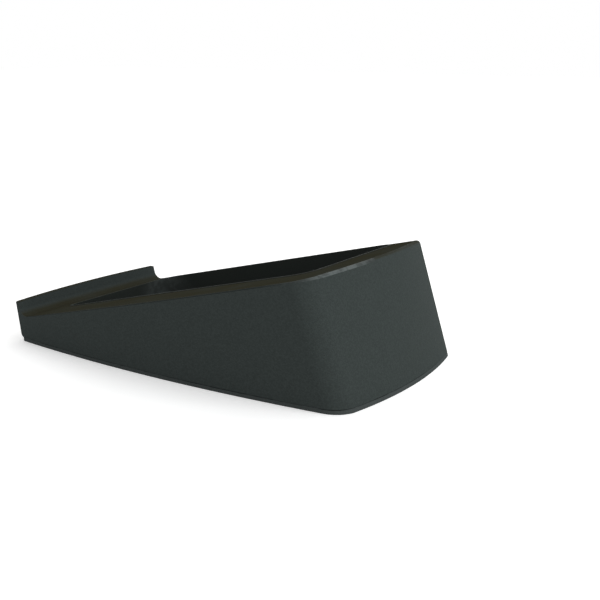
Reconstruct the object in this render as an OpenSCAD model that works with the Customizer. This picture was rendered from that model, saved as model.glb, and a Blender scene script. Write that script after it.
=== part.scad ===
// Open-topped wedge chock: a thin drafted shell with crowned sides and an upturned end lip,
// a drop-in pocket liner, a flat back panel, inner supports, a base plate and a rubber grip pad.
// Millimetres. X runs from the low end to the tall end, Y towards the flat back, Z up.

/* [Shell] */
// Length along the ground, from the low end's corners to the tall end's corners
base_l = 300; // [270:5:340]
// Width along the ground, from the near side's corners to the flat back
base_w = 156; // [146:2:190]
// Height of the rim above the ground at the low end's corners
rim_low_h = 19; // [18:0.5:26]
// Slope of the rim, in degrees
rim_slope = 14; // [11:0.5:15]
// Inward lean of the tall end, in degrees
end_lean = 17; // [12:0.5:18]
// Outward moulding draft of the near side and the low end, in degrees
draft = 3; // [1:0.5:5]
// Thickness of the shell
wall = 3; // [2:0.25:4]
// Bulge of the near side between its corners
near_crown = 9; // [5:0.5:14]
// Bulge of the tall end between its corners
end_crown = 9; // [5:0.5:14]
// Bulge of the low end between its corners
low_crown = 5; // [3:0.5:7]
// Radius of the upright corner between the near side and the tall end
near_corner_r = 18; // [12:1:30]
// Radius of the upright corner between the near side and the low end
low_corner_r = 5; // [4:0.5:8]
// Width of the foot that turns in under the base plate
foot_w = 20; // [17:1:26]

/* [Lip] */
// Height of the lip above the rim at the low end
lip_h = 13; // [8:0.5:20]
// Thickness of the lip at its top edge
lip_t = 3; // [2:0.25:4]
// Radius of the hollow curve between the lip and the rim
lip_fillet_r = 7; // [4:0.5:9]

/* [Pocket] */
// Distance from the low end to the pocket, along the ground
low_margin = 22; // [21:0.5:30]
// Distance from the tall end to the pocket, along the ground
tall_margin = 47; // [46:1:60]
// Distance from the near side to the pocket
near_margin = 29; // [27:1:40]
// Radius of the pocket's upright corners
pocket_r = 13; // [8:1:18]
// Thickness of the liner's walls and floor
liner_t = 2; // [1.5:0.25:3]
// Width of the ledge that holds the liner under the rim
ledge_w = 5; // [3:0.5:6]
// Height of the liner's edge above the rim
bead_h = 0.5; // [0.25:0.25:1]

/* [Back and base] */
// Thickness of the back panel
back_t = 2.5; // [2:0.25:4]
// Thickness of the base plate
plate_t = 2.5; // [2:0.25:4]
// Thickness of the rubber grip pad
pad_t = 3; // [2:0.25:5]
// Set-back of the pad behind the near side and the tall end
pad_inset = 0.4; // [0.2:0.2:2]
// Set-back of the pad behind the low end
pad_low_inset = 3; // [2:0.5:6]

/* [Supports] */
// Thickness of the supports' webs
web_t = 2.5; // [2:0.25:3]
// Thickness of the supports' feet
rail_t = 3; // [2:0.5:4]
// Diameter of the screw posts
post_d = 9; // [8:0.5:10]
// Spacing of the cross webs
web_pitch = 32; // [24:2:48]

/* [Screws] */
// Diameter of the screws
screw_d = 3.5; // [3:0.25:4]
// Diameter of the countersunk heads
head_d = 7; // [6:0.5:8]
// Length of the base screws
base_screw_l = 12; // [11:0.5:13]
// Length of the back screws
back_screw_l = 14; // [10:1:18]

/* [Fits] */
// Gap between pieces that are slid or dropped into place
gap = 0.25; // [0.15:0.05:0.3]
// Clearance around a screw in a hole that it passes through
screw_gap = 0.25; // [0.15:0.05:0.4]

/* [Hidden] */

shell_colour = [0.19, 0.21, 0.205];
liner_colour = [0.13, 0.15, 0.14];
panel_colour = [0.16, 0.18, 0.175];
support_colour = [0.30, 0.31, 0.31];
plate_colour = [0.24, 0.25, 0.25];
pad_colour = [0.25, 0.27, 0.27];
screw_colour = [0.62, 0.63, 0.64];

reach = 2 * (base_l + base_w);   // larger than the part in every direction
over_top = reach / 4;            // higher than the part
flat_fn = 720;                   // facets of the very large crown circles
round_fn = 96;                   // facets of corners and fillets
screw_fn = 48;                   // facets of screws, posts and their holes
round_ease = 0.02;               // lets a corner round cross its two sides at a slight angle
past_side = 1.2;                 // how far a corner's cutter runs past its sides, in radii
past_corner = 2;                 // how far it runs past the sharp corner, in its own length

draft_t = tan(draft);
lean_t = tan(end_lean);
slope_t = tan(rim_slope);

// The near side's edge runs out at this slope where it leaves the low end's corner
near_end_slope = 4 * near_crown / base_l;
// Outward lean of the low corner's axis, which keeps its round tangent to the near side
low_axis_t = draft_t + near_end_slope * (lean_t - draft_t);

// Heights of the layers under the pocket
foot_top = pad_t + wall;
plate_top = foot_top + plate_t;
floor_top = plate_top + liner_t;
lip_top = rim_low_h + lip_h;

// The pocket's inner faces
pocket_x0 = low_margin;
pocket_x1 = base_l - tall_margin;
pocket_y0 = near_margin - base_w;
pocket_y1 = -back_t - gap - liner_t;

// Rim height at a given distance from the low end
function rim_z(x) = rim_low_h + slope_t * x;

// Bulge of a crowned side, at a share t of its chord from 0 to 1
function bulge(crown, t) = crown * (1 - pow(2 * t - 1, 2));

// Outer faces at ground level: the near side at x, the tall end and the low end at y
function near_y(x) = -base_w - bulge(near_crown, x / base_l);
function tall_x(y) = base_l + bulge(end_crown, -y / base_w) / cos(end_lean);
function low_x(y) = -bulge(low_crown, -y / base_w);

// Turns that set a prism's axis along [-tx, -ty, 1], and a ground point in that prism's section
function axis_turn(tx, ty) = [atan(ty * cos(atan(tx))), -atan(tx), 0];
function in_section(tx, ty, x, y) =
    let (lean = atan(tx), tilt = atan(ty * cos(lean)), u = x * cos(lean))
    [u, (y - u * tan(tilt) * tx) * cos(tilt)];

// Circle through p and q that bulges by sag to the right of the way from p to q: [x, y, r]
function crown_circle(p, q, sag) =
    let (chord = norm(q - p), along = (q - p) / chord, out = [along[1], -along[0]],
         r = (chord * chord / 4 + sag * sag) / (2 * sag), c = (p + q) / 2 + out * (sag - r))
    [c[0], c[1], r];

function centre(c) = [c[0], c[1]];
function shrunk(c, inset) = [c[0], c[1], c[2] - inset];

// Centre of the round of radius r inside two crossing circles, on the side of the corner
function round_centre(c1, c2, r, corner) =
    let (a = c1[2] - r, b = c2[2] - r, gap_v = centre(c2) - centre(c1), d = norm(gap_v),
         along = gap_v / d, side = [-along[1], along[0]],
         q = (a * a - b * b + d * d) / (2 * d), h = sqrt(a * a - q * q),
         o1 = centre(c1) + q * along + h * side, o2 = centre(c1) + q * along - h * side)
    norm(o1 - corner) < norm(o2 - corner) ? o1 : o2;

// The part's own middle, which the origin sits under
near_circle = crown_circle(in_section(lean_t, draft_t, 0, -base_w),
                           in_section(lean_t, draft_t, base_l, -base_w), near_crown);
near_tilt = atan(draft_t * cos(end_lean));
rim_share = 1 + slope_t * lean_t;
rim_drift = sin(near_tilt) * lean_t
            - cos(near_tilt) * draft_t * slope_t / (cos(end_lean) * rim_share);
rim_near_y = (near_circle[1] + rim_drift * near_circle[0]
              - near_circle[2] * sqrt(1 + rim_drift * rim_drift)) / cos(near_tilt)
             - draft_t * rim_low_h / rim_share;
part_x0 = -low_crown - draft_t * lip_top;
part_x1 = tall_x(-base_w / 2) - min(lean_t * pad_t, pad_inset / cos(end_lean));
mid_x = (part_x0 + part_x1) / 2;
mid_y = rim_near_y / 2;

// The near support's ends, and its cross webs at an even pitch between them
near_x0 = pocket_x0 + pocket_r;
near_x1 = pocket_x1 - pocket_r;
near_webs = floor((near_x1 - near_x0 - web_t) / web_pitch);
near_pitch = (near_x1 - near_x0 - web_t) / near_webs;

// Base screws on the foot's middle line: at every second cross web of the near support, and in each
// end support at its near end and just clear of the back screws
screw_inset = wall + foot_w / 2;
near_screw_x = [for (i = [1 : 2 : near_webs - 1]) near_x0 + i * near_pitch + web_t / 2];
end_screw_y = [pocket_y0 + post_d, -back_screw_l - web_t - post_d];
base_screw_xy = concat(
    [for (x = near_screw_x) [x, near_y(x) + screw_inset]],
    [for (y = end_screw_y) [tall_x(y) - lean_t * foot_top - screw_inset, y]],
    [for (y = end_screw_y) [low_x(y) + screw_inset, y]]);

// Back screws: one in the low end's shelf, and two beside the pocket at the tall end
low_back_x = (wall + pocket_x0 - liner_t - gap) / 2;
low_back_z = (plate_top + rim_z(low_back_x) - wall) / 2;
tall_back_x = pocket_x1 + liner_t + gap + web_t + post_d / 2;
tall_back_z = [plate_top + post_d, rim_z(tall_back_x) - wall - liner_t - post_d];
back_screw_xz = [[low_back_x, low_back_z], for (z = tall_back_z) [tall_back_x, z]];

// Puts the part's middle over the origin
module placed() {
    translate([-mid_x, -mid_y, 0]) children();
}

// Everything between two heights
module slab(z0, z1) {
    translate([-reach / 2, -reach / 2, z0]) cube([reach, reach, z1 - z0]);
}

// Everything in front of a plane parallel to the back
module in_front_of(y) {
    translate([-reach / 2, y - reach, -reach / 2]) cube(reach);
}

// Everything between two planes across the length
module between_x(x0, x1) {
    translate([x0, -reach / 2, -reach / 2]) cube([x1 - x0, reach, reach]);
}

// The rim's own frame: its plane is the sloping rim
module rim_frame() {
    translate([0, 0, rim_low_h]) rotate([0, -rim_slope, 0]) children();
}

// Everything at least depth below the rim
module below_rim(depth) {
    rim_frame() translate([-reach / 2, -reach / 2, -reach - depth]) cube(reach);
}

// Section inside two crown circles, with the corner between them rounded
module crowned_section(c1, c2, r, corner) {
    o = round_centre(c1, c2, r, corner);
    t1 = centre(c1) + (o - centre(c1)) * c1[2] / (c1[2] - r);
    t2 = centre(c2) + (o - centre(c2)) * c2[2] / (c2[2] - r);
    difference() {
        intersection() {
            translate(centre(c1)) circle(r = c1[2], $fn = flat_fn);
            translate(centre(c2)) circle(r = c2[2], $fn = flat_fn);
        }
        difference() {
            polygon([o, o + (t1 - o) * past_side, o + (corner - o) * past_corner,
                     o + (t2 - o) * past_side]);
            translate(o) circle(r = r + round_ease, $fn = round_fn);
        }
    }
}

// Prism whose axis leans with the tall end and the near side
module leaning_prism(inset) {
    corner = in_section(lean_t, draft_t, base_l, -base_w);
    end_circle = crown_circle(corner, in_section(lean_t, draft_t, base_l, 0), end_crown);
    rotate(axis_turn(lean_t, draft_t)) translate([0, 0, -base_l])
        linear_extrude(2 * base_l)
            crowned_section(shrunk(near_circle, inset), shrunk(end_circle, inset),
                            max(near_corner_r - inset, wall), corner);
}

// Prism whose axis follows the draft of the low end
module low_end_prism(inset, near_inset) {
    corner = in_section(draft_t, low_axis_t, 0, -base_w);
    far = in_section(draft_t, low_axis_t, base_l, -base_w);
    low_circle = crown_circle(in_section(draft_t, low_axis_t, 0, 0), corner, low_crown);
    side_circle = crown_circle(corner, far, near_crown);
    rotate(axis_turn(draft_t, low_axis_t)) translate([0, 0, -base_l])
        linear_extrude(2 * base_l)
            crowned_section(shrunk(low_circle, inset), shrunk(side_circle, near_inset),
                            max(low_corner_r - inset, wall / 2), corner);
}

// Outside form of the wedge, drawn in by an inset, between two heights and up to a back plane
module wedge_form(inset, z0, z1, back_y) {
    intersection() {
        leaning_prism(inset);
        low_end_prism(inset, inset);
        slab(z0, z1);
        in_front_of(back_y);
    }
}

// Rectangle with its corners rounded
module rounded_rect(x0, x1, y0, y1, r) {
    translate([x0 + r, y0]) square([x1 - x0 - 2 * r, y1 - y0]);
    translate([x0, y0 + r]) square([x1 - x0, y1 - y0 - 2 * r]);
    for (x = [x0 + r, x1 - r])
        for (y = [y0 + r, y1 - r])
            translate([x, y]) circle(r = r, $fn = round_fn);
}

// The pocket's plan, grown by a margin on every side
module pocket_plan(grow) {
    rounded_rect(pocket_x0 - grow, pocket_x1 + grow, pocket_y0 - grow, pocket_y1 + grow,
                 pocket_r + grow);
}

// Upright column over the pocket's plan
module pocket_shaft(grow, z0, z1) {
    translate([0, 0, z0]) linear_extrude(z1 - z0) pocket_plan(grow);
}

// Straight stretch of the rim's opening that the back panel fills, narrowed at both ends
module rim_notch(narrow) {
    x0 = near_x0 + narrow;
    x1 = near_x1 - narrow;
    translate([x0, pocket_y1, foot_top]) cube([x1 - x0, wall - pocket_y1, over_top]);
}

// Upright column over the pocket's plan, run straight out past a back plane
module pocket_column(grow, z0, z1, back_y) {
    translate([0, 0, z0]) linear_extrude(z1 - z0)
        rounded_rect(pocket_x0 - grow, pocket_x1 + grow, pocket_y0 - grow,
                     back_y + 2 * pocket_r + grow, pocket_r + grow);
}

// Everything under the rim and the lip: one turned form, square to the rim, that holds the rim's
// plane, the hollow fillet and the lip's inner face
module under_rim_and_lip() {
    low_circle = crown_circle([0, 0], [0, -base_w], low_crown);
    face_r = low_circle[2] - lip_t - lip_h * (slope_t - draft_t);
    inner_r = face_r - (base_l + 2 * end_crown) / cos(rim_slope);
    outer_r = face_r + base_w / 2;
    fillet_x = face_r - lip_fillet_r;
    rim_frame() translate([low_circle[0], low_circle[1], 0])
        rotate_extrude($fn = flat_fn) difference() {
            union() {
                translate([inner_r, -base_l]) square([outer_r - inner_r, base_l]);
                translate([fillet_x, -wall]) square([outer_r - fillet_x, wall + lip_fillet_r]);
                translate([face_r, -wall]) square([outer_r - face_r, base_l]);
            }
            translate([fillet_x, lip_fillet_r])
                circle(r = lip_fillet_r, $fn = round_fn);
        }
}

// Upright countersunk hole, or the screw itself with no clearance, head down at z = 0
module countersunk(length, clear) {
    cylinder(d = screw_d + 2 * clear, h = length, $fn = screw_fn);
    cylinder(d1 = head_d + 2 * clear, d2 = screw_d + 2 * clear, h = (head_d - screw_d) / 2,
             $fn = screw_fn);
}

module at_base_screws() {
    for (p = base_screw_xy) translate([p[0], p[1], pad_t]) children();
}

module at_back_screws() {
    for (p = back_screw_xz) translate([p[0], 0, p[1]]) rotate([90, 0, 0]) children();
}

// The hollow margin between the shell and the liner, with a working gap all round
module margin_space() {
    difference() {
        intersection() {
            wedge_form(wall + gap, plate_top, over_top, -back_t - gap);
            below_rim(wall + gap);
        }
        pocket_column(liner_t + gap, -over_top, over_top, 0);
        difference() {
            pocket_column(liner_t + ledge_w + gap, -over_top, over_top, 0);
            below_rim(wall + liner_t + 2 * gap);
        }
    }
}

// Moulded one-piece shell: crowned sides, turned-in foot, rim flange and end lip
module outer_shell() {
    color(shell_colour) placed() difference() {
        intersection() {
            wedge_form(0, pad_t, over_top, 0);
            under_rim_and_lip();
            union() {
                slab(0, lip_top);
                between_x(pocket_x0, reach);
            }
        }
        intersection() {
            wedge_form(wall, foot_top, over_top, wall);
            below_rim(wall);
        }
        wedge_form(wall + foot_w, 0, plate_top, wall);
        pocket_shaft(liner_t + gap, foot_top, over_top);
        rim_notch(0);
        at_base_screws() countersunk(base_screw_l, screw_gap);
    }
}

// Drop-in liner: straight walls, a floor, and a ledge under the rim on three sides
module pocket_liner() {
    color(liner_colour) placed() {
        difference() {
            intersection() {
                pocket_shaft(liner_t, plate_top, over_top);
                below_rim(-bead_h);
            }
            pocket_shaft(0, floor_top, over_top);
        }
        difference() {
            intersection() {
                pocket_column(liner_t + ledge_w, plate_top, over_top, 0);
                in_front_of(-back_t - gap);
                below_rim(wall + gap);
                wedge_form(wall + gap, plate_top, over_top, 0);
            }
            below_rim(wall + gap + liner_t);
            pocket_shaft(liner_t / 2, floor_top, over_top);
        }
    }
}

// Flat back panel, with a raised middle that fills the rim's opening
module back_panel() {
    color(panel_colour) placed() difference() {
        intersection() {
            wedge_form(wall + gap, pad_t, over_top, 0);
            translate([-reach / 2, -back_t, 0]) cube([reach, back_t, over_top]);
            union() {
                below_rim(wall + gap);
                intersection() {
                    below_rim(0);
                    rim_notch(gap);
                }
            }
        }
        difference() {
            slab(0, foot_top + gap);
            wedge_form(wall + foot_w + gap, 0, over_top, wall);
        }
        at_back_screws() countersunk(back_screw_l, screw_gap);
    }
}

// Pilot holes for the screws that end in the supports
module pilot_holes() {
    at_base_screws() cylinder(d = screw_d, h = base_screw_l, $fn = screw_fn);
    at_back_screws() cylinder(d = screw_d, h = back_screw_l, $fn = screw_fn);
}

// Posts round the base screws
module screw_posts() {
    at_base_screws() cylinder(d = post_d, h = over_top, $fn = screw_fn);
}

// Posts round the back screws
module back_posts() {
    at_back_screws() cylinder(d = post_d, h = back_screw_l + web_t, $fn = screw_fn);
}

// Ribbed support under the near side's rim
module near_support() {
    spine_y = near_y(base_l / 2) + screw_inset;
    color(support_colour) placed() difference() {
        intersection() {
            margin_space();
            between_x(near_x0, near_x1);
            union() {
                slab(plate_top, plate_top + rail_t);
                translate([near_x0, spine_y - web_t / 2, 0])
                    cube([near_x1 - near_x0, web_t, over_top]);
                for (i = [0 : near_webs])
                    translate([near_x0 + i * near_pitch, -reach, 0]) cube([web_t, reach, over_top]);
                screw_posts();
            }
        }
        pilot_holes();
    }
}

// Ribbed support across an end of the part, between two planes across the length
module end_support(x0, x1, spine_x) {
    y0 = pocket_y0;
    y1 = -back_t - gap;
    count = floor((y1 - y0 - web_t) / web_pitch);
    pitch = (y1 - y0 - web_t) / count;
    color(support_colour) placed() difference() {
        intersection() {
            margin_space();
            between_x(x0, x1);
            translate([-reach / 2, y0, -reach / 2]) cube([reach, y1 - y0, reach]);
            union() {
                slab(plate_top, plate_top + rail_t);
                translate([spine_x - web_t / 2, -reach, 0]) cube([web_t, reach, over_top]);
                for (i = [0 : count])
                    translate([-reach / 2, y0 + i * pitch, 0]) cube([reach, web_t, over_top]);
                screw_posts();
                back_posts();
            }
        }
        pilot_holes();
    }
}

module tall_end_support() {
    end_support(pocket_x1, reach, tall_back_x);
}

module low_end_support() {
    end_support(-reach, pocket_x0, low_back_x);
}

// Flat plate that closes the underside and carries the liner and the supports
module base_plate() {
    color(plate_colour) placed() difference() {
        wedge_form(wall + gap, foot_top, plate_top, -back_t - gap);
        at_base_screws() cylinder(d = screw_d + 2 * screw_gap, h = base_screw_l, $fn = screw_fn);
    }
}

// Rubber sheet bonded under the foot
module grip_pad() {
    color(pad_colour) placed() intersection() {
        leaning_prism(pad_inset);
        low_end_prism(pad_low_inset, pad_inset);
        slab(0, pad_t);
        in_front_of(-pad_inset);
    }
}

// Countersunk screws up through the foot and the base plate into the supports
module base_screws() {
    color(screw_colour) placed() at_base_screws() countersunk(base_screw_l, 0);
}

// Countersunk screws through the back panel into the end supports
module back_screws() {
    color(screw_colour) placed() at_back_screws() countersunk(back_screw_l, 0);
}

outer_shell();
pocket_liner();
back_panel();
near_support();
tall_end_support();
low_end_support();
base_plate();
grip_pad();
base_screws();
back_screws();
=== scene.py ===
"""Models and finishes an open-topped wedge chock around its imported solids.

The shell, lining, panel and pad start as merged copies of the solids and get the rounded edges of real
mouldings, and the foot of the shell's low end is tucked in. The back screws are modelled whole, and the
hidden pieces keep their solids. Every piece has a procedural finish. Metres throughout.
"""

import contextlib
import math
import typing

import bmesh
import bpy
from bpy.props import FloatProperty, FloatVectorProperty, IntProperty, PointerProperty
from mathutils import Matrix, Vector


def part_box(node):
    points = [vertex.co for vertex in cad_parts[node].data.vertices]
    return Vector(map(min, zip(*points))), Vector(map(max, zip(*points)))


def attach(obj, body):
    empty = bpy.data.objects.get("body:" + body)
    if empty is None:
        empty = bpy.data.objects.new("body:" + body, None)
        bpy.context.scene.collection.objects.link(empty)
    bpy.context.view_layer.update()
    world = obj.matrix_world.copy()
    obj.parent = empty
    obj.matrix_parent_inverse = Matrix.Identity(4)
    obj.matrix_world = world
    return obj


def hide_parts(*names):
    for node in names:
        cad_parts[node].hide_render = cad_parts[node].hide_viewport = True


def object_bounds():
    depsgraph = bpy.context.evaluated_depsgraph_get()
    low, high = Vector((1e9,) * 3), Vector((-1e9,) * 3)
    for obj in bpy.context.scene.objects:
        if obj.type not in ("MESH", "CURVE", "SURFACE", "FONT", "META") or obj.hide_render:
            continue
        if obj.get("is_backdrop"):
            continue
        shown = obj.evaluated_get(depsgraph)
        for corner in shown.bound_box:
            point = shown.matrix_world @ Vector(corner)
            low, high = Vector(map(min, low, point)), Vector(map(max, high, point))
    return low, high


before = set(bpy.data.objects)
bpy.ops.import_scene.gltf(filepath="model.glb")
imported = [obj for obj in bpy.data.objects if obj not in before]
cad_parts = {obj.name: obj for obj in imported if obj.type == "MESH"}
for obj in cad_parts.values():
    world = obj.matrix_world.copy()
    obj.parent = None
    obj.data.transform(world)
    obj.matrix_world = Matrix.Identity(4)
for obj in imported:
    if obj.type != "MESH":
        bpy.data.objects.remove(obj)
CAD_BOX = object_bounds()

bl_info = {
    "name": "Wedge chock",
    "version": (1, 0, 0),
    "blender": (4, 5, 0),
    "location": "View3D > Sidebar > Chock",
    "description": "Models and finishes an open-topped wedge chock around its packed solids",
    "category": "Object",
}

MM = 0.001
UP = Vector((0.0, 0.0, 1.0))
DOWN = -UP
BACK = Vector((0.0, 1.0, 0.0))
WHITE = (1.0, 1.0, 1.0, 1.0)

MERGE_DISTANCE = 0.02 * MM             # closer points of a copied solid become one
FLAT_ANGLE = math.radians(0.3)         # faces that turn less than this become one
SMOOTH_ANGLE = math.radians(30.0)      # sharper edges keep their crease
SHARP_ANGLE = math.radians(18.0)       # edges that turn more than this can be rounded
ON_PLANE = 0.03 * MM                   # how near a point on a plane lies to it
ALONG = 0.9995                         # cosine above which a face points along a direction
SQUARE = 0.3                           # cosine below which a face counts as square to a direction
WALL_RISE = 0.45                       # a side wall's normal rises or falls less than this
UPWARD_RISE = 0.1                      # the normal of a face that looks upward rises more than this
LEVEL_RISE = 0.8                       # the normal of a face that gets the painted warm top light rises more than this
END_ON = 0.9                           # X of the normal from which a wall is fully the tall end's
TUCK_RINGS = (0.25, 0.4, 0.65, 1.0)    # heights of the rings in the tucked foot, as shares of its radius
SCREW_SIDES = 48                       # sides of a screw's round
TONE_SPREAD = 0.09                     # how much the grain darkens and lightens a plastic
ROUGH_SPREAD = 0.04                    # how much the grain changes a plastic's roughness
FRONT_UNTIL = -0.6                     # Y of a direction at which the front light starts to give way
BEHIND_FROM = 0.4                      # Y of a direction from which the back light is full
SENSOR_WIDTH = 36.0                    # millimetres, as the lens is given for
MAIN, EDGE, RIM, FAR_EDGE = range(4)   # indices of a piece's materials, the last two on the shell alone


# Sizes and colours that a user would change

def length(name, description, default):
    """A size in metres."""
    return FloatProperty(name=name, description=description, default=default, min=0.0,
                         subtype="DISTANCE", unit="LENGTH")


def angle(name, description, degrees):
    """An angle, given in degrees."""
    return FloatProperty(name=name, description=description, default=math.radians(degrees),
                         subtype="ANGLE", unit="ROTATION")


def colour(name, description, default):
    """A linear colour."""
    return FloatVectorProperty(name=name, description=description, default=default, size=3,
                               min=0.0, max=1.0, subtype="COLOR")


def share(name, description, default):
    """A value from 0 to 1."""
    return FloatProperty(name=name, description=description, default=default, min=0.0, max=1.0,
                         subtype="FACTOR")


def position(name, description, default):
    """A place in metres."""
    return FloatVectorProperty(name=name, description=description, default=default, size=3,
                               subtype="TRANSLATION", unit="LENGTH")


def power(name, description, default):
    """A lamp's power in watts."""
    return FloatProperty(name=name, description=description, default=default, min=0.0, subtype="POWER")


class ChockShape(bpy.types.PropertyGroup):
    """Slope of the rim, radii of the rounded edges and sizes of the back screws."""

    rim_slope: angle("Rim slope", "Slope of the rim above the ground", 14.0)
    rim_edge: length("Rim edge", "Radius of the rim's edge on the near side", 0.8 * MM)
    rim_growth: length("Rim growth", "Stretch over which the rim's radius grows", 60.0 * MM)
    end_rim_edge: length("End rim edge", "Radius of the rim's edge at the tall end", 1.8 * MM)
    far_rim_edge: length("Far rim edge", "Radius of the rim's edge at the tall end's far corner", 3.2 * MM)
    lip_edge: length("Lip edge", "Radius of the edges of the low end's lip", 0.4 * MM)
    back_edge: length("Back edge", "Radius of the edges round the flat back", 1.2 * MM)
    tall_back_edge: length("Tall back edge", "Radius of the tall end's edge at the back", 1.6 * MM)
    foot_edge: length("Foot edge", "Radius of the foot's edge", 0.35 * MM)
    low_foot_edge: length("Low foot edge", "Radius by which the low end's foot is tucked in", 2.6 * MM)
    low_foot_reach: length("Low foot reach", "How far the tucked foot reaches round the low end", 12.0 * MM)
    bead_edge: length("Bead edge", "Radius of the lining's top edges", 0.4 * MM)
    floor_fillet: length("Floor fillet", "Radius between the pocket's floor and its walls", 3.5 * MM)
    panel_edge: length("Panel edge", "Radius of the back panel's outer edges", 0.4 * MM)
    pad_edge: length("Pad edge", "Radius of the rubber pad's upper edges", 0.35 * MM)
    shank: length("Shank", "Diameter of the back screws' shanks", 3.5 * MM)
    recess_width: length("Recess width", "Width of the cross recess in a screw's head", 3.6 * MM)
    recess_slot: length("Recess slot", "Width of each slot of the cross recess", 0.9 * MM)
    recess_depth: length("Recess depth", "Depth of the cross recess", 1.3 * MM)
    head_edge: length("Head edge", "Radius of a screw's sharp edges", 0.2 * MM)
    edge_steps: IntProperty(name="Edge steps", description="Segments across each rounded edge",
                            default=4, min=1, max=8)


class ChockFinish(bpy.types.PropertyGroup):
    """Colours and surface sizes of the finishes."""

    shell: colour("Shell", "Grained black plastic of the shell", (0.0345, 0.0415, 0.040))
    # Painted shade: the shell's rounded edges are painted darker, so they show as a dark line.
    edge_shade: colour("Edge shade", "Shell plastic along its edges, where no dust lies", (0.021, 0.025, 0.0235))
    lining: colour("Lining", "Smooth black plastic of the pocket", (0.0225, 0.0262, 0.024))
    panel: colour("Panel", "Black sheet of the back panel", (0.028, 0.033, 0.031))
    support: colour("Support", "Dark grey plastic of the inner supports", (0.070, 0.073, 0.073))
    plate: colour("Plate", "Dark grey sheet of the base plate", (0.050, 0.053, 0.053))
    rubber: colour("Rubber", "Black rubber of the pad", (0.049, 0.056, 0.055))
    steel: colour("Steel", "Zinc-plated steel of the screws", (0.42, 0.43, 0.44))
    # Painted light: a warm colour painted on upward faces, where the light from above falls.
    painted_top_light: colour("Painted top light", "Fine dust on the upward faces", (0.0265, 0.0258, 0.0170))
    # Painted highlight: a pale colour painted on rounded edges where they catch the light, and in the
    # lining's low far corner.
    highlight_tint: colour("Edge highlight", "Pale colour painted as highlights on edges", (0.13, 0.147, 0.147))
    # Painted shade: the joint above the pad is painted darker.
    joint_shade: colour("Joint shade", "Painted shade in the joint above the pad", (0.009, 0.011, 0.011))
    grain: length("Grain", "Size of the moulded grain's cells", 0.8 * MM)
    relief: length("Relief", "Height of the moulded grain", 0.1 * MM)
    shell_gloss: share("Shell gloss", "Specular level of the shell's walls", 0.005)
    top_light_amount: share("Top light amount", "How much dust lies on the upward faces", 1.0)
    far_top_light: share("Far top light", "How much dust lies on the tall end's edges past the rubbing", 0.75)
    # Where the painted highlight on the rim's rounded edge is palest, and how it fades along the tall end.
    rim_highlight: share("Rim highlight", "How pale the painted highlight on the rim's edge is at its strongest", 0.62)
    highlight_along: length("Highlight along", "Middle of the rubbing, from the corner along the end", 29.0 * MM)
    highlight_full: length("Highlight full", "How far the rubbing stays at its palest", 10.4 * MM)
    highlight_reach: length("Highlight reach", "How far the rubbing reaches from its middle", 52.0 * MM)
    highlight_end: length("Highlight end", "How far behind the middle the plain edge starts", 39.0 * MM)
    # Painted highlight on the rounded edges of the lining and the back panel.
    bead_highlight: share("Bead highlight", "How pale the edges of the lining are", 0.1)
    # Painted highlight on the pad's upper edges.
    pad_highlight: share("Pad highlight", "How pale the painted highlights on the pad's upper edges are", 0.3)
    # Painted light in the lining's low far corner, which lies in shade.
    corner_light: share("Corner light", "How pale the lining is in its low far corner", 0.23)
    corner_light_full: length("Corner light full", "How far the scuff stays at its palest", 21.0 * MM)
    corner_light_reach: length("Corner light reach", "How far the scuff reaches from that corner", 42.0 * MM)


class ChockStage(bpy.types.PropertyGroup):
    """Camera, floor and lamps."""

    azimuth: angle("Azimuth", "Turn of the view round the part, from the near side", 33.735)
    elevation: angle("Elevation", "Height of the view above the horizon", 14.599)
    roll: angle("Roll", "Turn of the view about its own axis", 0.187)
    distance: length("Distance", "Distance of the view from its target", 777.4 * MM)
    target: position("Target", "Point at the middle of the picture", (38.15 * MM, 45.26 * MM, 35.77 * MM))
    lens: FloatProperty(name="Lens", description="Focal length on a 36 mm sensor, in millimetres",
                        default=59.68, min=1.0)
    floor: colour("Floor", "Pale floor", (0.95, 0.95, 0.95))
    floor_size: length("Floor size", "Side of the square floor", 12.0)
    floor_drop: length("Floor drop", "How far the floor lies below the pad", 0.1 * MM)
    lift: share("Floor lift", "How much the floor shows paler than its light makes it", 0.25)
    front: share("Front light", "Strength of the soft light from in front of the part", 0.76)
    behind: share("Back light", "Strength of the soft light from behind the part", 1.0)
    key: power("Key lamp", "Power of the soft lamp beside the tall end", 6.4)
    key_place: position("Key place", "Middle of the key lamp", (1.2, 0.1, 0.5))
    key_colour: colour("Key colour", "Light of the key lamp", (0.97, 1.0, 1.0))
    rear: power("Rear lamp", "Power of the soft lamp above and behind the part", 3.0)
    rear_place: position("Rear place", "Middle of the rear lamp", (-0.1, 1.05, 0.75))
    rear_colour: colour("Rear colour", "Light of the rear lamp", (1.0, 0.97, 0.9))
    lamp_size: length("Lamp size", "Side of each square lamp", 0.7)


# Modelling helpers

def select_only(piece):
    """Selects one object and makes it active."""
    bpy.ops.object.select_all(action="DESELECT")
    piece.select_set(True)
    bpy.context.view_layer.objects.active = piece


@contextlib.contextmanager
def editing(piece):
    """Edit mode on one piece, with everything in it selected."""
    select_only(piece)
    bpy.ops.object.mode_set(mode="EDIT")
    bpy.ops.mesh.select_mode(type="VERT")
    bpy.ops.mesh.select_all(action="SELECT")
    yield
    bpy.ops.object.mode_set(mode="OBJECT")


def apply_modifier(piece, kind, **settings):
    """Adds a modifier to a piece and applies it."""
    select_only(piece)
    modifier = piece.modifiers.new(kind.lower(), kind)
    for name, value in settings.items():
        setattr(modifier, name, value)
    bpy.ops.object.modifier_apply(modifier=modifier.name)


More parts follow.
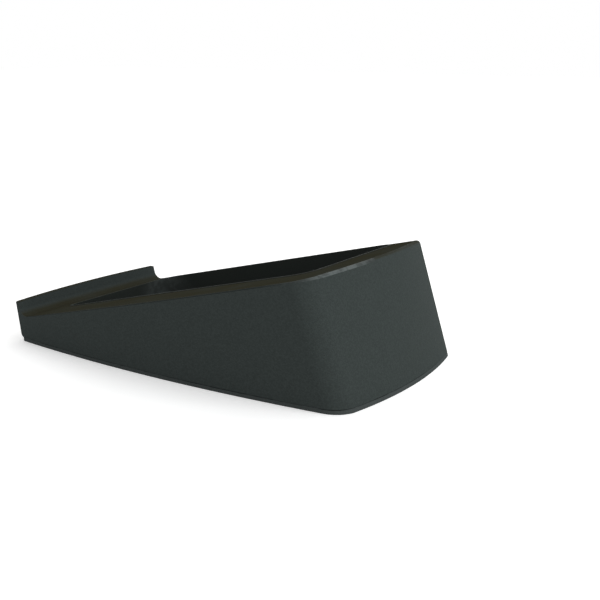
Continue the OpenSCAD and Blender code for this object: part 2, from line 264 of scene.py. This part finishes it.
def merged_copy(node, name, *materials):
    """Copies a solid's mesh, joins its loose triangles into whole faces and gives it its materials."""
    piece = bpy.data.objects.new(name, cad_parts[node].data.copy())
    bpy.context.scene.collection.objects.link(piece)
    piece.data.materials.clear()
    for material in materials:
        piece.data.materials.append(material)
    with editing(piece):
        bpy.ops.mesh.customdata_custom_splitnormals_clear()
        bpy.ops.mesh.remove_doubles(threshold=MERGE_DISTANCE)
        bpy.ops.mesh.dissolve_degenerate(threshold=MERGE_DISTANCE)
        bpy.ops.mesh.dissolve_limited(angle_limit=FLAT_ANGLE)
    return piece


def round_edges(piece, radius_of, steps):
    """Rounds each sharp edge by the radius that radius_of gives.

    That function gets the edge's middle, the normals of its two faces and whether it is convex. The
    rounded faces take the piece's edge material, if it has one.
    """
    mesh = bmesh.new()
    mesh.from_mesh(piece.data)
    weight = mesh.edges.layers.float.new("bevel_weight_edge")
    radii = {}
    for edge in mesh.edges:
        if edge.is_manifold and edge.calc_face_angle() > SHARP_ANGLE:
            middle = (edge.verts[0].co + edge.verts[1].co) / 2
            radii[edge] = radius_of(middle, [face.normal for face in edge.link_faces], edge.is_convex)
    largest = max(radii.values())
    if largest == 0:
        raise RuntimeError(f"{piece.name}: no edge was found to round")
    for edge, radius in radii.items():
        edge[weight] = radius / largest
    mesh.to_mesh(piece.data)
    mesh.free()
    apply_modifier(piece, "BEVEL", limit_method="WEIGHT", width=largest, segments=steps, material=EDGE,
                   use_clamp_overlap=False, miter_outer="MITER_ARC")


def finish_piece(piece, slot, *nodes):
    """Smooths a piece and lets it stand for its solids."""
    select_only(piece)
    bpy.ops.object.shade_smooth_by_angle(angle=SMOOTH_ANGLE)
    apply_modifier(piece, "WEIGHTED_NORMAL", keep_sharp=True, weight=80)
    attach(piece, "root")
    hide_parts(*nodes)


def paint_faces(piece, index, test):
    """Gives the faces that pass a test the piece's material at an index."""
    with editing(piece):
        bpy.ops.mesh.select_mode(type="FACE")
        bpy.ops.mesh.select_all(action="DESELECT")
        mesh = bmesh.from_edit_mesh(piece.data)
        for face in mesh.faces:
            face.select_set(test(face))
        bmesh.update_edit_mesh(piece.data)
        piece.active_material_index = index
        bpy.ops.object.material_slot_assign()


def solid_boxes(node):
    """The box of each separate solid of a node, in order along the part."""
    mesh = bmesh.new()
    mesh.from_mesh(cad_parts[node].data)
    bmesh.ops.remove_doubles(mesh, verts=mesh.verts, dist=MERGE_DISTANCE)
    left = set(mesh.verts)
    boxes = []
    while left:
        reached = [left.pop()]
        points = []
        while reached:
            vert = reached.pop()
            points.append(vert.co.copy())
            for edge in vert.link_edges:
                other = edge.other_vert(vert)
                if other in left:
                    left.remove(other)
                    reached.append(other)
        boxes.append((Vector(map(min, zip(*points))), Vector(map(max, zip(*points)))))
    mesh.free()
    return sorted(boxes, key=lambda box: (round(box[0].x, 5), round(box[0].z, 5)))


def points_along(normals, direction):
    """Whether one of an edge's two faces points along a direction."""
    return any(normal.dot(direction) > ALONG for normal in normals)


def rim_direction(shape):
    """The direction that the sloping rim faces."""
    return Vector((-math.sin(shape.rim_slope), 0.0, math.cos(shape.rim_slope)))


def faces_out(middle, normals):
    """Whether one of an edge's two faces is a side wall that points away from the part's middle."""
    upright = [normal for normal in normals if abs(normal.z) < WALL_RISE and abs(normal.y) < ALONG]
    return any(normal.x * middle.x + normal.y * middle.y > 0 for normal in upright)


# Node groups and materials

class NodeTree:
    """Adds nodes to a shader tree and links them in one call."""

    def __init__(self, tree):
        self.tree = tree

    def feed(self, node, inputs):
        """Sets a node's inputs. Each is a value, or an output socket to link from."""
        for name, value in inputs.items():
            socket = node.inputs[name]
            if isinstance(value, bpy.types.NodeSocket):
                self.tree.links.new(value, socket)
            else:
                socket.default_value = value

    def add(self, kind, inputs=None, **settings):
        """Adds a node with its settings and inputs."""
        node = self.tree.nodes.new(kind)
        for name, value in settings.items():
            setattr(node, name, value)
        self.feed(node, inputs or {})
        return node

    def math(self, operation, a, b=0.0, clamp=False):
        """A Math node's output."""
        return self.add("ShaderNodeMath", {0: a, 1: b}, operation=operation, use_clamp=clamp).outputs[0]

    def ramp(self, value, low, high, to_low=0.0, to_high=1.0):
        """Maps a value from one range to another, smoothly and within its ends."""
        node = self.add("ShaderNodeMapRange", {"Value": value, "From Min": low, "From Max": high,
                                               "To Min": to_low, "To Max": to_high},
                        interpolation_type="SMOOTHSTEP")
        return node.outputs["Result"]

    def mix(self, factor, a, b):
        """Mixes two colours, by the places of a Mix node's colour sockets."""
        return self.add("ShaderNodeMix", {0: factor, 6: a, 7: b}, data_type="RGBA").outputs[2]

    def place(self):
        """The shaded point, in the piece's own coordinates."""
        return self.add("ShaderNodeTexCoord").outputs["Object"]

    def distance(self, place):
        """How far the shaded point lies from a place."""
        node = self.add("ShaderNodeVectorMath", {0: self.place(), 1: place}, operation="DISTANCE")
        return node.outputs["Value"]

    def noise(self, scale, detail, roughness=0.5):
        """Cloudy noise over the piece, with its scale in cells to the metre."""
        inputs = {"Vector": self.place(), "Scale": scale, "Detail": detail, "Roughness": roughness}
        return self.add("ShaderNodeTexNoise", inputs).outputs["Fac"]

    def along(self, axis, vector):
        """How far a vector goes along X, Y or Z."""
        return self.add("ShaderNodeSeparateXYZ", {"Vector": vector}).outputs[axis]

    def group(self, build, inputs):
        """A node of the shared group that a function builds on its first use."""
        shared = bpy.data.node_groups.get(build.__name__) or build()
        return self.add("ShaderNodeGroup", inputs, node_tree=shared).outputs

    def seen(self):
        """1 for a ray from the camera, straight or by way of a mirror or a glass, and 0 for light."""
        path = self.add("ShaderNodeLightPath").outputs
        mirrored = self.math("ADD", path["Is Glossy Ray"], path["Is Transmission Ray"])
        return self.math("ADD", path["Is Camera Ray"], mirrored, clamp=True)


def new_group(build, inputs, *outputs):
    """A shader node group with float sockets, named after its builder. Returns its tree and inputs."""
    group = bpy.data.node_groups.new(build.__name__, "ShaderNodeTree")
    for socket, default in inputs.items():
        made = group.interface.new_socket(socket, in_out="INPUT", socket_type="NodeSocketFloat")
        made.default_value = default
    for socket in outputs:
        group.interface.new_socket(socket, in_out="OUTPUT", socket_type="NodeSocketFloat")
    tree = NodeTree(group)
    return tree, tree.add("NodeGroupInput").outputs


def moulded_grain():
    """Fine pebbled grain of a textured mould: each pebble catches the light a little differently."""
    tree, given = new_group(moulded_grain, {"Cell Size": 0.001}, "Height", "Tone")
    density = tree.math("DIVIDE", 1.0, given["Cell Size"])
    cells = tree.add("ShaderNodeTexVoronoi", {"Vector": tree.place(), "Scale": density, "Smoothness": 0.5},
                     feature="SMOOTH_F1").outputs
    fine = tree.noise(tree.math("MULTIPLY", density, 1.6), detail=2.0, roughness=0.6)
    slow = tree.noise(40.0, detail=4.0)
    pebble = tree.add("ShaderNodeSeparateColor", {"Color": cells["Color"]}).outputs["Red"]
    height = tree.math("SUBTRACT", tree.math("MULTIPLY", fine, 0.5), cells["Distance"])
    tone = tree.math("ADD", tree.math("MULTIPLY", pebble, 0.5), tree.math("MULTIPLY", fine, 0.4))
    tone = tree.math("ADD", tone, tree.math("MULTIPLY", slow, 0.1))
    tree.add("NodeGroupOutput", {"Height": height, "Tone": tone})
    return tree.tree


def top_light_mask():
    """Painted warm light from above on upward faces, weaker in patches."""
    tree, given = new_group(top_light_mask, {"Amount": 0.5, "Patch Size": 0.03}, "Mask")
    upward = tree.along("Z", tree.add("ShaderNodeNewGeometry").outputs["Normal"])
    patches = tree.noise(tree.math("DIVIDE", 1.0, given["Patch Size"]), detail=5.0)
    cover = tree.math("MULTIPLY", tree.ramp(upward, 0.45, 0.9), tree.ramp(patches, 0.3, 0.7, 0.75, 1.0))
    tree.add("NodeGroupOutput", {"Mask": tree.math("MULTIPLY", cover, given["Amount"])})
    return tree.tree


def edge_highlight():
    """Painted highlight on an edge, broken up along its length."""
    tree, given = new_group(edge_highlight, {"Amount": 0.5, "Least": 0.5}, "Mask")
    breaks = tree.ramp(tree.noise(180.0, detail=3.0), 0.4, 0.6, given["Least"], 1.0)
    mask = tree.math("MULTIPLY", breaks, given["Amount"])
    tree.add("NodeGroupOutput", {"Mask": mask})
    return tree.tree


def joint_shade_mask():
    """Painted shade in a level joint, heavier along some stretches."""
    tree, given = new_group(joint_shade_mask, {"Height": 0.003, "Reach": 0.0004}, "Mask")
    height = tree.along("Z", tree.place())
    away = tree.math("ABSOLUTE", tree.math("SUBTRACT", height, given["Height"]))
    close = tree.ramp(tree.math("DIVIDE", away, given["Reach"]), 0.5, 1.0, 1.0, 0.0)
    stretches = tree.ramp(tree.noise(35.0, detail=3.0), 0.4, 0.6, 0.2, 1.0)
    mask = tree.math("MULTIPLY", close, stretches)
    tree.add("NodeGroupOutput", {"Mask": mask})
    return tree.tree


def opaque(rgb):
    """A colour with full alpha."""
    return (*rgb, 1.0)


def scaled(rgb, factor):
    """A colour made darker or paler, with full alpha."""
    return opaque(factor * channel for channel in rgb)


def new_material(name, **constants):
    """A material with a Principled shader whose plain sockets are set. Returns it with its tree."""
    material = bpy.data.materials.new(name)
    material.use_nodes = True
    tree = NodeTree(material.node_tree)
    shader = material.node_tree.nodes["Principled BSDF"]
    for socket, value in constants.items():
        shader.inputs[socket.replace("_", " ")].default_value = value
    return material, tree, shader


class PaintedLight(typing.NamedTuple):
    """Painted light, all over or fading out from a place."""

    amount: float
    least: float = 0.55     # share of it that is left where it is broken up
    place: Vector = None
    full: float = 0.0       # how far from the place it keeps its amount
    reach: float = 0.0      # how far from the place it ends


def plastic(name, rgb, finish, cell, bump=1.0, roughness=0.5, gloss=0.012, painted_top_light=0.0, painted_light=None,
            seam=None):
    """Moulded plastic: grain, then painted warm top light on upward faces, painted highlights, and painted
    shade at the seam's height.
    """
    material, tree, shader = new_material(name, Specular_IOR_Level=gloss)
    grain = tree.group(moulded_grain, {"Cell Size": cell})
    tone = tree.ramp(grain["Tone"], 0.25, 0.75)
    tint = tree.mix(tone, scaled(rgb, 1.0 - TONE_SPREAD), scaled(rgb, 1.0 + TONE_SPREAD))
    rough = tree.ramp(tone, 0.0, 1.0, roughness - ROUGH_SPREAD, roughness + ROUGH_SPREAD)
    # Painted warm top light on the upward faces.
    if painted_top_light:
        cover = tree.group(top_light_mask, {"Amount": painted_top_light})["Mask"]
        tint = tree.mix(cover, tint, opaque(finish.painted_top_light))
        rough = tree.math("MAXIMUM", rough, cover)
    # Painted light in a pale colour: highlights on edges and the lining's corner.
    if painted_light:
        amount = painted_light.amount
        if painted_light.place is not None:
            away = tree.distance(painted_light.place)
            amount = tree.ramp(away, painted_light.full, painted_light.reach, painted_light.amount, 0.0)
        mask = tree.group(edge_highlight, {"Amount": amount, "Least": painted_light.least})["Mask"]
        tint = tree.mix(mask, tint, opaque(finish.highlight_tint))
    # Painted shade in the joint above the pad.
    if seam is not None:
        mask = tree.group(joint_shade_mask, {"Height": seam})["Mask"]
        tint = tree.mix(mask, tint, opaque(finish.joint_shade))
    relief = tree.add("ShaderNodeBump", {"Height": grain["Height"], "Strength": bump,
                                        "Distance": finish.relief})
    tree.feed(shader, {"Base Color": tint, "Roughness": rough, "Normal": relief.outputs["Normal"]})
    return material


def plated_steel(name, rgb):
    """Zinc-plated steel with a slightly cloudy plating."""
    material, tree, shader = new_material(name, Metallic=1.0)
    cloud = tree.noise(900.0, detail=4.0)
    tone = tree.ramp(cloud, 0.3, 0.7)
    tint = tree.mix(tone, scaled(rgb, 0.8), scaled(rgb, 1.15))
    rough = tree.ramp(tone, 0.0, 1.0, 0.28, 0.45)
    relief = tree.add("ShaderNodeBump", {"Height": cloud, "Strength": 0.15, "Distance": 0.05 * MM})
    tree.feed(shader, {"Base Color": tint, "Roughness": rough, "Normal": relief.outputs["Normal"]})
    return material


# One operator for each piece or group of like pieces

class CHOCK_OT_outer_shell(bpy.types.Operator):
    """Model the grained shell: rounded rim, lip, foot and back edges, and a tucked low end"""

    bl_idname = "chock.outer_shell"
    bl_label = "Outer shell"

    def execute(self, context):
        shape = context.scene.chock_shape
        finish = context.scene.chock_finish
        points = [vertex.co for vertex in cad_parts["outer_shell"].data.vertices]
        rim_corner = max(points, key=lambda point: point.x - point.y + 2 * point.z)
        # Middle of the painted highlight on the rim's edge.
        highlight_at = rim_corner + finish.highlight_along * BACK

        def past_highlight(face):
            middle = face.calc_center_median()
            behind = middle.y > highlight_at.y + finish.highlight_end
            return face.material_index == EDGE and middle.x > 0 and behind

        # Upward faces take the rim material with its painted warm top light.
        def top_light_falls(face):
            return face.material_index == MAIN and face.normal.z > LEVEL_RISE

        piece = merged_copy("outer_shell", "shell_moulding", *self.plastics(finish, highlight_at))
        round_edges(piece, self.rounding(shape, points, rim_corner), shape.edge_steps)
        self.tuck_foot(piece, shape)
        paint_faces(piece, FAR_EDGE, past_highlight)
        paint_faces(piece, RIM, top_light_falls)
        finish_piece(piece, "shell", "outer_shell")
        return {"FINISHED"}

    def plastics(self, finish, highlight_at):
        """The shell's materials: walls, rounded edges with painted shade and a painted highlight, rim, and
        the tall end's edges past the painted highlight.
        """
        low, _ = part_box("outer_shell")
        grained = {"finish": finish, "cell": finish.grain}
        wall = {"rgb": finish.shell, "gloss": finish.shell_gloss, "seam": low.z, **grained}
        # Painted highlight on the rim's edge, palest near the tall corner.
        painted_light = PaintedLight(finish.rim_highlight, place=highlight_at, full=finish.highlight_full, reach=finish.highlight_reach)
        # Walls, rim and far edges carry painted warm top light on their upward faces.
        return (plastic("Grained shell plastic", **wall, painted_top_light=finish.top_light_amount),
                # The edge material is painted darker, as painted shade along the shell's rounded edges.
                plastic("Shell edge with painted shade and highlight", finish.edge_shade, **grained, painted_light=painted_light, seam=low.z),
                plastic("Rim plastic with painted top light", finish.shell, **grained, gloss=0.0, painted_top_light=finish.top_light_amount),
                plastic("Plain shell edge", **wall, painted_top_light=finish.far_top_light))

    def rounding(self, shape, points, rim_corner):
        """A function that gives the radius of each of the shell's edges."""
        low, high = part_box("outer_shell")
        pocket_low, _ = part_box("pocket_liner")
        rim_up = rim_direction(shape)
        lip_top = max(point.z for point in points if point.x < pocket_low.x)

        def rim_radius(middle, normals):
            """Grows from the low end, and along the tall end towards its far corner."""
            grown = min(1.0, (middle.x - pocket_low.x) / shape.rim_growth)
            at_end = min(1.0, max(0.0, *(normal.x for normal in normals)) / END_ON)
            along = max(0.0, (middle.y - rim_corner.y) / (high.y - rim_corner.y))
            end_edge = shape.end_rim_edge + along * (shape.far_rim_edge - shape.end_rim_edge)
            return grown * shape.rim_edge + at_end * (end_edge - shape.rim_edge)

        def radius_of(middle, normals, convex):
            on_lip = points_along(normals, UP) and abs(middle.z - lip_top) < ON_PLANE
            at_foot = points_along(normals, DOWN) and abs(middle.z - low.z) < ON_PLANE
            at_back = points_along(normals, BACK) and abs(middle.y - high.y) < ON_PLANE
            outer = faces_out(middle, normals)
            upward = any(normal.z > UPWARD_RISE for normal in normals)
            in_low_end = middle.x < pocket_low.x
            if not convex:
                return 0.0
            if on_lip:
                return shape.lip_edge
            if at_foot and outer:
                return shape.foot_edge
            if at_back and outer and middle.x > 0:
                return shape.tall_back_edge
            if at_back and (outer or upward):
                return shape.lip_edge if in_low_end else shape.back_edge
            if points_along(normals, rim_up) and outer and not in_low_end:
                return rim_radius(middle, normals)
            return 0.0

        return radius_of

    def tuck_foot(self, piece, shape):
        """Cuts rings round the low end's foot, and moves each in to its place on a quarter round."""
        low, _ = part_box("outer_shell")
        radius = shape.low_foot_edge
        inner = low.x + shape.low_foot_reach
        with editing(piece):
            for ring in TUCK_RINGS:
                bpy.ops.mesh.select_all(action="SELECT")
                bpy.ops.mesh.bisect(plane_co=(0.0, 0.0, low.z + ring * radius), plane_no=UP)
            mesh = bmesh.from_edit_mesh(piece.data)
            levels = {round(vert.co.z, 5) for vert in mesh.verts
                      if vert.co.x < inner and vert.co.z < low.z + radius}
            for level in sorted(levels):
                bpy.ops.mesh.select_all(action="DESELECT")
                mesh = bmesh.from_edit_mesh(piece.data)
                for vert in mesh.verts:
                    vert.select_set(vert.co.x < inner and round(vert.co.z, 5) == level)
                below_top = min(radius, radius - (level - low.z))
                inward = radius - math.sqrt(radius ** 2 - below_top ** 2)
                bpy.ops.transform.translate(value=(inward, 0.0, 0.0))


class CHOCK_OT_pocket_liner(bpy.types.Operator):
    """Model the pocket's lining: a rounded bead on the rim and a fillet round the floor"""

    bl_idname = "chock.pocket_liner"
    bl_label = "Pocket lining"

    def execute(self, context):
        shape = context.scene.chock_shape
        finish = context.scene.chock_finish
        rim_up = rim_direction(shape)
        low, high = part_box("pocket_liner")

        def radius_of(middle, normals, convex):
            if not convex and points_along(normals, UP):
                return shape.floor_fillet
            if convex and points_along(normals, rim_up):
                return shape.bead_edge
            return 0.0

        smooth = {"rgb": finish.lining, "finish": finish, "cell": finish.grain / 2, "bump": 0.2}
        # Painted light in the lining's low far corner.
        corner_light = PaintedLight(finish.corner_light, place=(low.x, high.y, low.z), full=finish.corner_light_full,
                        reach=finish.corner_light_reach)
        wall = plastic("Smooth lining plastic", **smooth, painted_light=corner_light)
        # Painted highlight and painted warm top light on the lining's bead.
        bead = plastic("Lining edge with painted light", **smooth, painted_top_light=finish.top_light_amount,
                       painted_light=PaintedLight(finish.bead_highlight))
        piece = merged_copy("pocket_liner", "pocket_lining", wall, bead)
        round_edges(piece, radius_of, shape.edge_steps)
        paint_faces(piece, MAIN, lambda face: face.normal.dot(rim_up) < SQUARE)
        finish_piece(piece, "liner", "pocket_liner")
        return {"FINISHED"}


class CHOCK_OT_back_panel(bpy.types.Operator):
    """Model the flat back panel with its outer edges eased"""

    bl_idname = "chock.back_panel"
    bl_label = "Back panel"

    def execute(self, context):
        shape = context.scene.chock_shape
        finish = context.scene.chock_finish
        _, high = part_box("back_panel")

        def radius_of(middle, normals, convex):
            outside = points_along(normals, BACK) and abs(middle.y - high.y) < ON_PLANE
            square = any(abs(normal.dot(BACK)) < SQUARE for normal in normals)
            return shape.panel_edge if convex and outside and square else 0.0

        sheet = {"rgb": finish.panel, "finish": finish, "cell": finish.grain, "bump": 0.4}
        face = plastic("Sheet plastic", **sheet)
        # Painted highlight on the panel's rounded edges.
        edge = plastic("Sheet edge with painted highlight", **sheet, gloss=0.1, painted_light=PaintedLight(finish.bead_highlight))
        piece = merged_copy("back_panel", "rear_panel", face, edge)
        round_edges(piece, radius_of, shape.edge_steps)
        finish_piece(piece, "panel", "back_panel")
        return {"FINISHED"}


class CHOCK_OT_grip_pad(bpy.types.Operator):
    """Model the rubber pad with its upper edges eased"""

    bl_idname = "chock.grip_pad"
    bl_label = "Rubber pad"

    def execute(self, context):
        shape = context.scene.chock_shape
        finish = context.scene.chock_finish
        _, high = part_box("grip_pad")

        def radius_of(middle, normals, convex):
            return shape.pad_edge if convex and points_along(normals, UP) else 0.0

        rubber = {"rgb": finish.rubber, "finish": finish, "cell": finish.grain / 2, "roughness": 0.85,
                  "seam": high.z}
        sheet = plastic("Pad rubber", **rubber)
        # Painted highlight on the pad's upper edges, in broken places.
        edge = plastic("Rubber edge with painted highlight", **rubber, painted_light=PaintedLight(finish.pad_highlight, least=0.0))
        piece = merged_copy("grip_pad", "rubber_pad", sheet, edge)
        round_edges(piece, radius_of, shape.edge_steps)
        finish_piece(piece, "pad", "grip_pad")
        return {"FINISHED"}


class CHOCK_OT_back_screws(bpy.types.Operator):
    """Model one countersunk screw with a cross recess, and set a copy at each place in the back panel"""

    bl_idname = "chock.back_screws"
    bl_label = "Back screws"

    def execute(self, context):
        shape = context.scene.chock_shape
        boxes = solid_boxes("back_screws")
        low, high = boxes[0]
        model = self.model_screw(shape, high.x - low.x, high.y - low.y)
        model.data.materials.append(plated_steel("Back screw steel", context.scene.chock_finish.steel))
        for number, (low, high) in enumerate(boxes, 1):
            screw = bpy.data.objects.new(f"panel_screw_{number}", model.data.copy())
            context.scene.collection.objects.link(screw)
            screw.location = ((low.x + high.x) / 2, high.y, (low.z + high.z) / 2)
            screw.rotation_euler.x = math.radians(90.0)
            select_only(screw)
            bpy.ops.object.transform_apply()
            finish_piece(screw, "screw", "back_screws")
        bpy.data.objects.remove(model)
        return {"FINISHED"}

    def model_screw(self, shape, head, reach):
        """A screw that stands on its head: a cone drawn out into the shank, with two crossed slots cut."""
        taper = (head - shape.shank) / 2
        bpy.ops.mesh.primitive_cone_add(vertices=SCREW_SIDES, radius1=head / 2, radius2=shape.shank / 2,
                                        depth=taper, location=(0.0, 0.0, taper / 2))
        bpy.ops.object.transform_apply()
        model = bpy.context.active_object
        with editing(model):
            bpy.ops.mesh.select_mode(type="FACE")
            bpy.ops.mesh.select_all(action="DESELECT")
            mesh = bmesh.from_edit_mesh(model.data)
            for face in mesh.faces:
                face.select_set(points_along([face.normal], UP))
            bmesh.update_edit_mesh(model.data)
            bpy.ops.mesh.extrude_region_move(TRANSFORM_OT_translate={"value": (0.0, 0.0, reach - taper)})

        def radius_of(middle, normals, convex):
            flat = points_along(normals, UP) or points_along(normals, DOWN)
            return shape.head_edge if convex and flat else 0.0

        round_edges(model, radius_of, shape.edge_steps)
        for across in ((shape.recess_width, shape.recess_slot), (shape.recess_slot, shape.recess_width)):
            bpy.ops.mesh.primitive_cube_add(size=1.0)
            slot = bpy.context.active_object
            slot.scale = (*across, 2 * shape.recess_depth)
            bpy.ops.object.transform_apply()
            apply_modifier(model, "BOOLEAN", operation="DIFFERENCE", object=slot)
            bpy.data.objects.remove(slot)
        return model


class CHOCK_OT_hidden_pieces(bpy.types.Operator):
    """Finish the supports, the base plate and the base screws, which keep their solids"""

    bl_idname = "chock.hidden_pieces"
    bl_label = "Hidden pieces"

    def execute(self, context):
        finish = context.scene.chock_finish
        plain = {"finish": finish, "cell": finish.grain, "bump": 0.3, "gloss": 0.1}
        ribbed = plastic("Support plastic", finish.support, **plain)
        sheet = plastic("Plate plastic", finish.plate, **plain)
        steel = plated_steel("Base screw steel", finish.steel)
        finishes = {"near_support": ribbed, "tall_end_support": ribbed, "low_end_support": ribbed,
                    "base_plate": sheet, "base_screws": steel}
        for node, material in finishes.items():
            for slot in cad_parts[node].material_slots:
                slot.material = material
        return {"FINISHED"}


class CHOCK_OT_stage(bpy.types.Operator):
    """Set the floor, the lamps, the surroundings and the camera"""

    bl_idname = "chock.stage"
    bl_label = "Stage"

    def execute(self, context):
        stage = context.scene.chock_stage
        self.add_floor(stage)
        self.add_surroundings(context.scene, stage)
        self.add_lamp("key_lamp", stage.key_place, stage.lamp_size, stage.key, stage.key_colour)
        self.add_lamp("rear_lamp", stage.rear_place, stage.lamp_size, stage.rear, stage.rear_colour)
        self.add_camera(context.scene, stage)
        context.scene.view_settings.view_transform = "Standard"
        return {"FINISHED"}

    def add_floor(self, stage):
        """A pale floor that shows white to the camera and keeps the part's shadow."""
        bpy.ops.mesh.primitive_plane_add(size=stage.floor_size, location=(0.0, 0.0, -stage.floor_drop))
        floor = bpy.context.active_object
        floor.name = "floor"
        material, tree, shader = new_material("Pale floor", Base_Color=opaque(stage.floor), Roughness=0.9,
                                              Specular_IOR_Level=0.1, Emission_Color=WHITE)
        tree.feed(shader, {"Emission Strength": tree.math("MULTIPLY", tree.seen(), stage.lift)})
        floor.data.materials.append(material)
        floor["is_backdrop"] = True

    def add_surroundings(self, scene, stage):
        """Soft light from all round, weaker from the front. It shows as white."""
        world = bpy.data.worlds.new("surroundings")
        world.use_nodes = True
        scene.world = world
        tree = NodeTree(world.node_tree)
        toward_back = tree.along("Y", tree.add("ShaderNodeTexCoord").outputs["Generated"])
        ambient = tree.ramp(toward_back, FRONT_UNTIL, BEHIND_FROM, stage.front, stage.behind)
        strength = tree.math("MAXIMUM", tree.seen(), ambient)
        tree.feed(world.node_tree.nodes["Background"], {"Color": WHITE, "Strength": strength})

    def add_lamp(self, name, place, size, watts, rgb):
        """A square soft lamp that points at the part."""
        bpy.ops.object.light_add(type="AREA", location=place)
        lamp = bpy.context.active_object
        lamp.name = name
        lamp.rotation_euler = (-Vector(place)).to_track_quat("-Z", "Y").to_euler()
        lamp.data.size = size
        lamp.data.energy = watts
        lamp.data.color = rgb

    def add_camera(self, scene, stage):
        """The camera at the view's angle, turned about its own axis by the roll."""
        across = math.cos(stage.elevation)
        behind = Vector((math.sin(stage.azimuth) * across, -math.cos(stage.azimuth) * across,
                         math.sin(stage.elevation)))
        right = Vector((math.cos(stage.azimuth), math.sin(stage.azimuth), 0.0))
        upright = Matrix((right, behind.cross(right), behind)).transposed()
        turn = upright @ Matrix.Rotation(stage.roll, 3, "Z")
        bpy.ops.object.camera_add(location=Vector(stage.target) + stage.distance * behind,
                                  rotation=turn.to_euler())
        camera = bpy.context.active_object
        camera.name = "camera"
        camera.data.lens = stage.lens
        camera.data.sensor_width = SENSOR_WIDTH
        camera.data.clip_start = 0.01
        scene.camera = camera


class CHOCK_PT_panel(bpy.types.Panel):
    """Lists the chock's settings and its steps"""

    bl_idname = "CHOCK_PT_panel"
    bl_label = "Wedge chock"
    bl_space_type = "VIEW_3D"
    bl_region_type = "UI"
    bl_category = "Chock"

    def draw(self, context):
        for step in STEPS:
            self.layout.operator(step.bl_idname)
        for group in SETTINGS:
            box = self.layout.box()
            settings = getattr(context.scene, group)
            for name in settings.__annotations__:
                box.prop(settings, name)


SETTINGS = {"chock_shape": ChockShape, "chock_finish": ChockFinish, "chock_stage": ChockStage}
STEPS = (CHOCK_OT_outer_shell, CHOCK_OT_pocket_liner, CHOCK_OT_back_panel, CHOCK_OT_grip_pad,
         CHOCK_OT_back_screws, CHOCK_OT_hidden_pieces, CHOCK_OT_stage)
CLASSES = (*SETTINGS.values(), *STEPS, CHOCK_PT_panel)


def register():
    """Registers the classes and puts the settings on the scene."""
    for made in CLASSES:
        bpy.utils.register_class(made)
    for group, settings in SETTINGS.items():
        setattr(bpy.types.Scene, group, PointerProperty(type=settings))


def unregister():
    """Takes the settings off the scene and unregisters the classes."""
    for group in SETTINGS:
        delattr(bpy.types.Scene, group)
    for made in reversed(CLASSES):
        bpy.utils.unregister_class(made)


def main():
    """Makes every piece and the stage."""
    register()
    bpy.ops.chock.outer_shell()
    bpy.ops.chock.pocket_liner()
    bpy.ops.chock.back_panel()
    bpy.ops.chock.grip_pad()
    bpy.ops.chock.back_screws()
    bpy.ops.chock.hidden_pieces()
    bpy.ops.chock.stage()
    boxes = {"cad": CAD_BOX, "visual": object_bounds()}
    {name: [list(corner) for corner in box] for name, box in boxes.items()}


if __name__ == "__main__":
    main()
